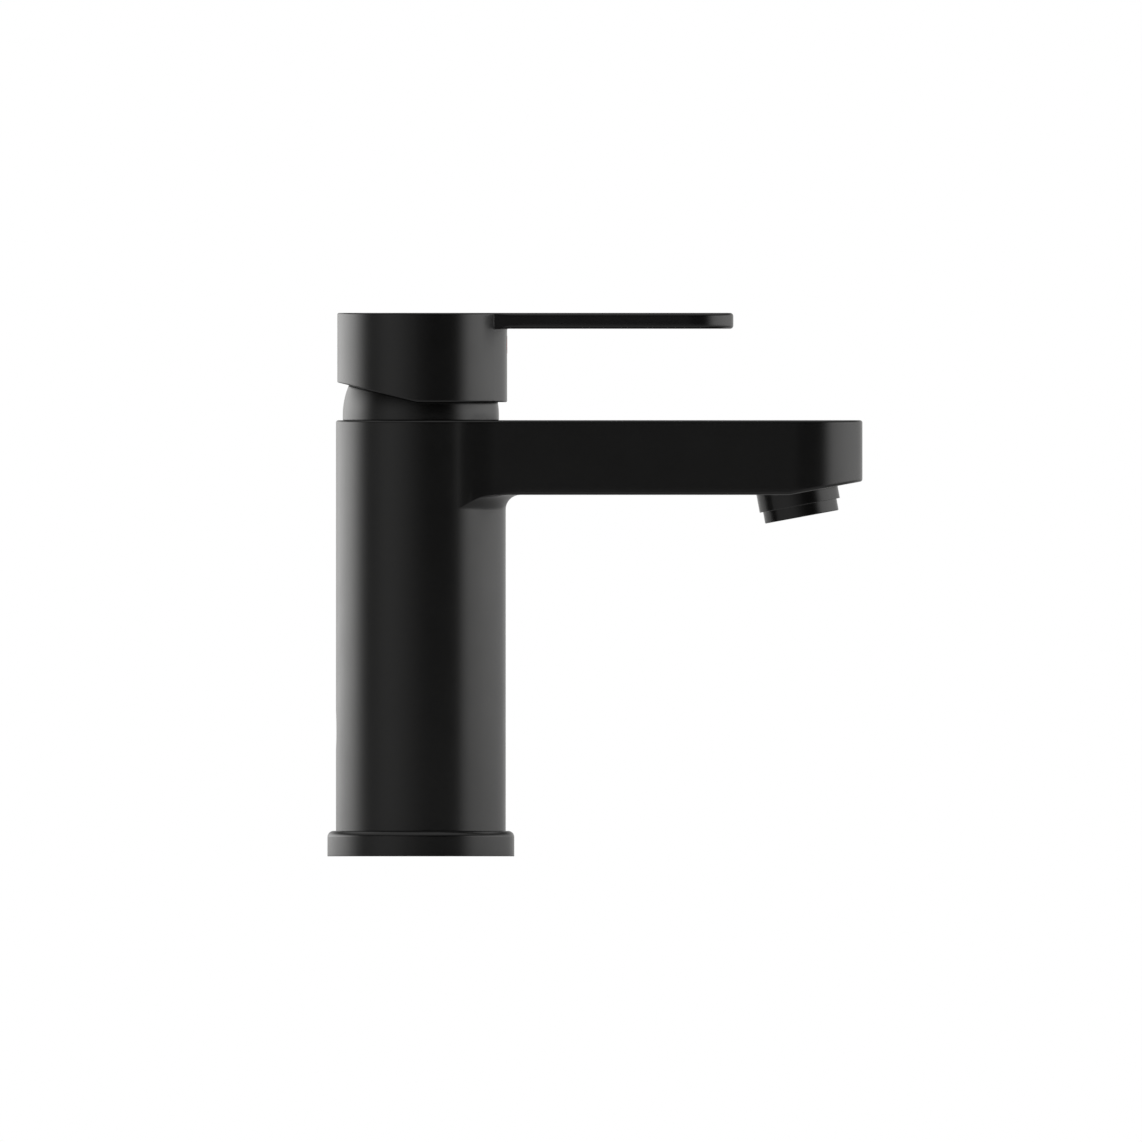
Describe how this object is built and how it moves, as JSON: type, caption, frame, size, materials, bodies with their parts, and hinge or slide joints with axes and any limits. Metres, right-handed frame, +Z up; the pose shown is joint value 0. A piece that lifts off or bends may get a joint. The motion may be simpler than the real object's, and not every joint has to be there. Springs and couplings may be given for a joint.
{
  "type": "bathroom mixer faucet",
  "caption": "Single-lever basin mixer with a round column, a flat cantilevered spout and a short flat lever on a round cap, in satin black.",
  "frame": {"origin": "centre of the base on the deck surface, on the axis of the column and of the deck hole", "axes": "+Z up along the column, +X along the spout towards the basin, +Y to the cold side"},
  "size_m": [0.1575, 0.055, 0.16],
  "materials": {
    "body_brass": "satin black coating on cast brass",
    "black_coating": "satin black coating on turned brass",
    "handle_zinc": "satin black coating on die-cast metal",
    "aerator_black": "satin black coating on turned brass",
    "brass": "bare turned brass",
    "steel": "stainless steel",
    "ceramic": "polished alumina ceramic",
    "cartridge_plastic": "moulded acetal",
    "aerator_plastic": "moulded grey plastic",
    "rubber": "black nitrile rubber",
    "index": "moulded plastic, red on the hot side and blue on the cold side"
  },
  "bodies": {
    "base": {"base_ring": "black_coating", "base_gasket": "rubber", "body_casting": "body_brass", "cartridge_base": "cartridge_plastic", "cartridge_seals": "rubber", "fixed_disc": "ceramic", "cartridge_housing": "cartridge_plastic", "cartridge_nut": "brass", "dome_seal": "rubber", "cartridge_dome": "black_coating", "aerator_washer": "rubber", "aerator_housing": "aerator_black", "aerator_screen": "steel", "flow_regulator": "aerator_plastic", "aerator_insert": "aerator_plastic"},
    "turret": {"turret": "cartridge_plastic", "turret_seal": "rubber"},
    "handle": {"handle": "handle_zinc", "stem": "steel", "pivot_pin": "steel", "handle_screw": "steel", "index_plug": "index"},
    "disc": {"moving_disc": "ceramic", "disc_carrier": "cartridge_plastic"}
  },
  "joints": [
    {"name": "mix_turn", "type": "hinge", "parent": "base", "child": "turret", "pos_m": [0, 0, 0.1298], "axis": [0, 0, 1], "range_deg": [-45, 45]},
    {"name": "lever_lift", "type": "hinge", "parent": "turret", "child": "handle", "pos_m": [0, 0, 0.1298], "axis": [0, -1, 0], "range_deg": [0, 24]},
    {"name": "disc_slide", "type": "slide", "parent": "turret", "child": "disc", "axis": [1, 0, 0], "range_m": [0, 0.0048]}
  ],
  "couplings": [
    {"joint": "disc_slide", "follows": "lever_lift", "m_per_rad": 0.01126}
  ]
}
